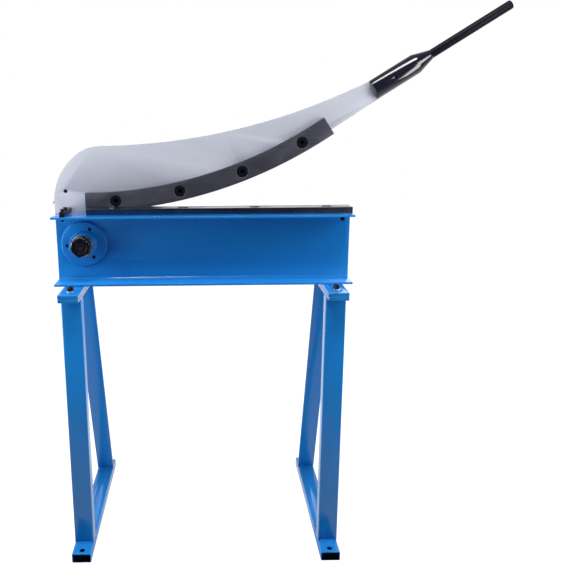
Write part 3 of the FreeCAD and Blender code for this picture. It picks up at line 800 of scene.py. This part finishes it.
# ------------------------------------------------------------------ pivot
class SHEAR_OT_pivot(PieceOperator):
    """Hub, bushes, shaft, nut and washers of the arm's pivot"""
    bl_idname = "shear.pivot"
    bl_label = "Pivot"

    def execute(self, context):
        self.begin(context)
        fine = self.sizes.ground_edge
        self.make("hub_casting", "pivot_hub", "blue", 3.5 * fine, STAND)
        self.make("hub_cap_screws", "hub_screws", "shaded_black", 0.5 * fine, STAND)
        self.make("bearing_bush_front", "front_bush", "bronze", fine, STAND)
        self.make("bearing_bush_rear", "rear_bush", "bronze", fine, STAND)
        self.make("thrust_ring", "thrust_washer", "zinc", 0.5 * fine, STAND)
        self.make("pivot_hexagon_nut", "pivot_nut", "nut", 2.5 * fine, ARM)
        self.make("pivot_ring", "pivot_washer", "zinc", fine, ARM)
        self.extra("hub_weld", self.weld, "weld", STAND)
        self.shaft()
        return {"FINISHED"}

    def weld(self, shape):
        """Bead around the hub's disc, where it meets the web."""
        radius = (HUB_HIGH.x - HUB_LOW.x) / 2
        centre = Vector((PIVOT.x, WEB_FRONT, PIVOT.z))
        round_bead(shape, centre, radius, -Y, self.sizes.stand_bead, self.sizes.bead_pitch,
                   random.Random(19))

    def shaft(self):
        """The shaft, turned with a chamfer and a centre mark, in place of the plain one."""
        low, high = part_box("pivot_shaft")
        end, radius = low.y, 18 * MM
        head_low, head_high, head = high.y - 10 * MM, high.y, (high.x - low.x) / 2
        centre_mark = [(0, end + 4 * MM), (2.2 * MM, end + 1.6 * MM), (3.6 * MM, end)]
        end_chamfer = [(radius - 2.4 * MM, end), (radius - 2 * MM, end + 0.2 * MM),
                       (radius - 0.2 * MM, end + 2 * MM), (radius, end + 2.4 * MM)]
        head_front = [(radius, head_low), (head - 1.6 * MM, head_low),
                      (head - 0.5 * MM, head_low + 0.4 * MM), (head, head_low + 1.4 * MM)]
        head_back = [(head, head_high - 2.6 * MM), (head - 0.7 * MM, head_high - 0.9 * MM),
                     (head - 2.6 * MM, head_high)]
        dished_face = [(12 * MM, head_high), (11 * MM, head_high - 0.8 * MM),
                       (0, head_high - 0.8 * MM)]
        profile = centre_mark + end_chamfer + head_front + head_back + dished_face
        centre = Vector((PIVOT.x, 0, PIVOT.z))
        piece = turned("pivot_pin", profile, centre, Y, self.finish["oxide"], 96)
        soften(piece, 0.2 * MM, segments=1, limit=25)
        settle(piece, ARM, ["pivot_shaft"])


# ------------------------------------------------------------------ arm
class SHEAR_OT_arm(PieceOperator):
    """Curved arm plate with its two small screws"""
    bl_idname = "shear.arm"
    bl_label = "Arm plate"

    def execute(self, context):
        self.begin(context)
        self.make("lever_plate", "arm_plate", "grey", self.sizes.sheared_edge, ARM)
        self.make("lever_plate_screw", "arm_screw", "oxide", self.sizes.ground_edge, ARM)
        self.make("lever_edge_screw", "edge_screw", "zinc", self.sizes.ground_edge, ARM)
        return {"FINISHED"}


class SHEAR_OT_upper_blade(PieceOperator):
    """Curved upper blade, its countersunk screws and the nuts behind the arm"""
    bl_idname = "shear.upper_blade"
    bl_label = "Upper blade"

    def execute(self, context):
        self.begin(context)
        fine = self.sizes.ground_edge
        self.make("curved_blade", "upper_blade", "blade", fine, ARM)
        self.make("curved_blade_screws", "upper_blade_screws", "shaded_black", 0.8 * fine, ARM)
        self.make("curved_blade_nuts", "upper_blade_nuts", "oxide", 2 * fine, ARM)
        return {"FINISHED"}


class SHEAR_OT_handle(PieceOperator):
    """Socket, set screws and round bar of the handle"""
    bl_idname = "shear.handle"
    bl_label = "Handle"

    def execute(self, context):
        self.begin(context)
        fine = self.sizes.ground_edge
        self.make("lever_socket", "handle_socket", "gloss", 0.6 * fine, ARM)
        self.make("lever_set_screws", "socket_set_screws", "oxide", 0.5 * fine, ARM)
        self.make("lever_bar", "handle_rod", "satin", self.sizes.sheared_edge, ARM)
        return {"FINISHED"}


class SHEAR_OT_guide(PieceOperator):
    """Guide bar that steadies the arm, with its two screws"""
    bl_idname = "shear.guide"
    bl_label = "Guide bar"

    def execute(self, context):
        self.begin(context)
        self.make("steady_bar", "guide_bar", "oxide", self.sizes.sheared_edge, GUIDE)
        self.make("steady_bar_screws", "guide_bar_screws", "oxide",
                  1.6 * self.sizes.ground_edge, STAND)
        return {"FINISHED"}


# ------------------------------------------------------------------ studio
WHITE = (1, 1, 1, 1)
# The point that the lights look at.
SHEAR_MIDDLE = Vector((0.05, -0.1, 0.95))
# Where the floor's glow, the backdrop and the dark ceiling start and are full.
FLOOR_FADE = (-1.4, 0.8)
BACKDROP_FADE = (-0.15, 0.35)
CEILING_FADE = (0.25, 0.85)
CEILING_TONE = 0.15
# The camera: its place in metres, its turn down, sideways and about its own axis, its shift.
CAMERA_PLACE = (0.0088, -2.1764, 1.3528)
CAMERA_TURN = (0.2356, -0.0006, -0.0094)
CAMERA_SHIFT = 0.1344


class SHEAR_OT_stage(bpy.types.Operator):
    """Pale floor, soft lights and the camera"""
    bl_idname = "shear.stage"
    bl_label = "Studio"

    def execute(self, context):
        studio = context.scene.shear_studio
        self.floor(studio)
        self.lights(context, studio)
        self.camera(context, studio)
        context.scene.view_settings.view_transform = "Standard"
        return {"FINISHED"}

    def floor(self, studio):
        """A wide round floor that fades into the room's white."""
        shape = bmesh.new()
        bmesh.ops.create_circle(shape, cap_ends=True, segments=96, radius=9)
        mesh = bpy.data.meshes.new("studio_floor")
        shape.to_mesh(mesh)
        shape.free()
        material = bpy.data.materials.new("Pale floor")
        material.use_nodes = True
        shader = material.node_tree.nodes["Principled BSDF"]
        shader.inputs["Base Color"].default_value = tuple(studio.floor) + (1.0,)
        shader.inputs["Roughness"].default_value = 0.85
        shader.inputs["Specular IOR Level"].default_value = 0.1
        shader.inputs["Emission Color"].default_value = WHITE
        tree = material.node_tree
        seen = tree.nodes.new("ShaderNodeLightPath").outputs["Is Camera Ray"]
        way = add(tree, "SeparateXYZ")
        tree.links.new(tree.nodes.new("ShaderNodeTexCoord").outputs["Object"], way.inputs[0])
        glow = span(tree, way.outputs["Y"], *FLOOR_FADE, 0.0, studio.floor_behind)
        feed(tree, shader, "Emission Strength", span(tree, seen, 0, 1, glow, studio.floor_lift))
        shown(mesh, "studio_floor", material)

    def lights(self, context, studio):
        """A high soft light in front, one at each side, and a white backdrop."""
        self.soft_light("key_light", (0.0, -0.74, 2.05), (2.0, 0.6), studio.key_light)
        self.soft_light("left_light", (-1.15, -0.38, 0.2), (0.4, 1.2), studio.left_light)
        self.soft_light("right_light", (1.20, -0.58, 0.35), (0.4, 1.1), studio.right_light)
        world = bpy.data.worlds.new("Room")
        world.use_nodes = True
        tree = world.node_tree
        room = tree.nodes["Background"]
        way = tree.nodes.new("ShaderNodeSeparateXYZ")
        tree.links.new(tree.nodes.new("ShaderNodeTexCoord").outputs["Generated"], way.inputs[0])
        room.inputs["Color"].default_value = WHITE
        backdrop = span(tree, way.outputs["Y"], *BACKDROP_FADE, studio.room_front,
                        studio.room_back)
        ceiling = span(tree, way.outputs["Z"], *CEILING_FADE, 1.0, CEILING_TONE)
        feed(tree, room, "Strength", sums(tree, "MULTIPLY", backdrop, ceiling))
        white = tree.nodes.new("ShaderNodeBackground")
        white.inputs["Color"].default_value = WHITE
        white.inputs["Strength"].default_value = 1.0
        seen = tree.nodes.new("ShaderNodeLightPath")
        mix = tree.nodes.new("ShaderNodeMixShader")
        tree.links.new(seen.outputs["Is Camera Ray"], mix.inputs[0])
        tree.links.new(room.outputs[0], mix.inputs[1])
        tree.links.new(white.outputs[0], mix.inputs[2])
        tree.links.new(mix.outputs[0], tree.nodes["World Output"].inputs["Surface"])
        context.scene.world = world

    def soft_light(self, name, offset, size, energy):
        """One rectangular soft light, set off from the shear's middle and turned towards it."""
        lamp = bpy.data.lights.new(name, "AREA")
        lamp.shape = "RECTANGLE"
        lamp.size, lamp.size_y = size
        lamp.energy = energy
        holder = bpy.data.objects.new(name, lamp)
        bpy.context.scene.collection.objects.link(holder)
        holder.location = SHEAR_MIDDLE + Vector(offset)
        holder.rotation_euler = (-Vector(offset)).to_track_quat("-Z", "Y").to_euler()

    def camera(self, context, studio):
        """A camera in front of the shear, a little above the bed, looking slightly down."""
        pitch, yaw, roll = CAMERA_TURN
        ahead = Vector((math.sin(yaw) * math.cos(pitch), math.cos(yaw) * math.cos(pitch),
                        -math.sin(pitch)))
        level = Vector((math.cos(yaw), -math.sin(yaw), 0))
        over = level.cross(ahead)
        right = level * math.cos(roll) + over * math.sin(roll)
        up = over * math.cos(roll) - level * math.sin(roll)
        lens = bpy.data.cameras.new("Camera")
        lens.lens = studio.lens
        lens.sensor_width = 36.0
        lens.shift_x = CAMERA_SHIFT
        lens.clip_end = 100
        camera = bpy.data.objects.new("Camera", lens)
        context.scene.collection.objects.link(camera)
        turn = Matrix((right, up, -ahead)).transposed()
        camera.matrix_world = Matrix.Translation(CAMERA_PLACE) @ turn.to_4x4()
        context.scene.camera = camera


PIECES = (SHEAR_OT_stand, SHEAR_OT_bed_fasteners, SHEAR_OT_bed, SHEAR_OT_lower_blade,
          SHEAR_OT_pivot, SHEAR_OT_arm, SHEAR_OT_upper_blade, SHEAR_OT_handle, SHEAR_OT_guide,
          SHEAR_OT_stage)


class SHEAR_PT_panel(bpy.types.Panel):
    """Panel that lists the pieces and their settings"""
    bl_label = "Lever guillotine shear"
    bl_idname = "SHEAR_PT_panel"
    bl_space_type = "VIEW_3D"
    bl_region_type = "UI"
    bl_category = "Shear"

    def draw(self, context):
        """List one button for each group of pieces, then the settings."""
        column = self.layout.column(align=True)
        for operator in PIECES:
            column.operator(operator.bl_idname)
        scene = context.scene
        for owner in (scene.shear_colours, scene.shear_sizes, scene.shear_studio):
            box = self.layout.box()
            for key in owner.bl_rna.properties.keys():
                if key not in ("rna_type", "name"):
                    box.prop(owner, key)


CLASSES = (ShearColours, ShearSizes, ShearStudio) + PIECES + (SHEAR_PT_panel,)


def register():
    """Register the classes and hang the settings on the scene."""
    for item in CLASSES:
        bpy.utils.register_class(item)
    bpy.types.Scene.shear_colours = PointerProperty(type=ShearColours)
    bpy.types.Scene.shear_sizes = PointerProperty(type=ShearSizes)
    bpy.types.Scene.shear_studio = PointerProperty(type=ShearStudio)


def unregister():
    """Take the settings and the classes away again."""
    for key in ("shear_studio", "shear_sizes", "shear_colours"):
        delattr(bpy.types.Scene, key)
    for item in reversed(CLASSES):
        bpy.utils.unregister_class(item)


def main():
    """Build every piece and the studio."""
    register()
    for operator in PIECES:
        group, action = operator.bl_idname.split(".")
        getattr(getattr(bpy.ops, group), action)()


if __name__ == "__main__":
    main()
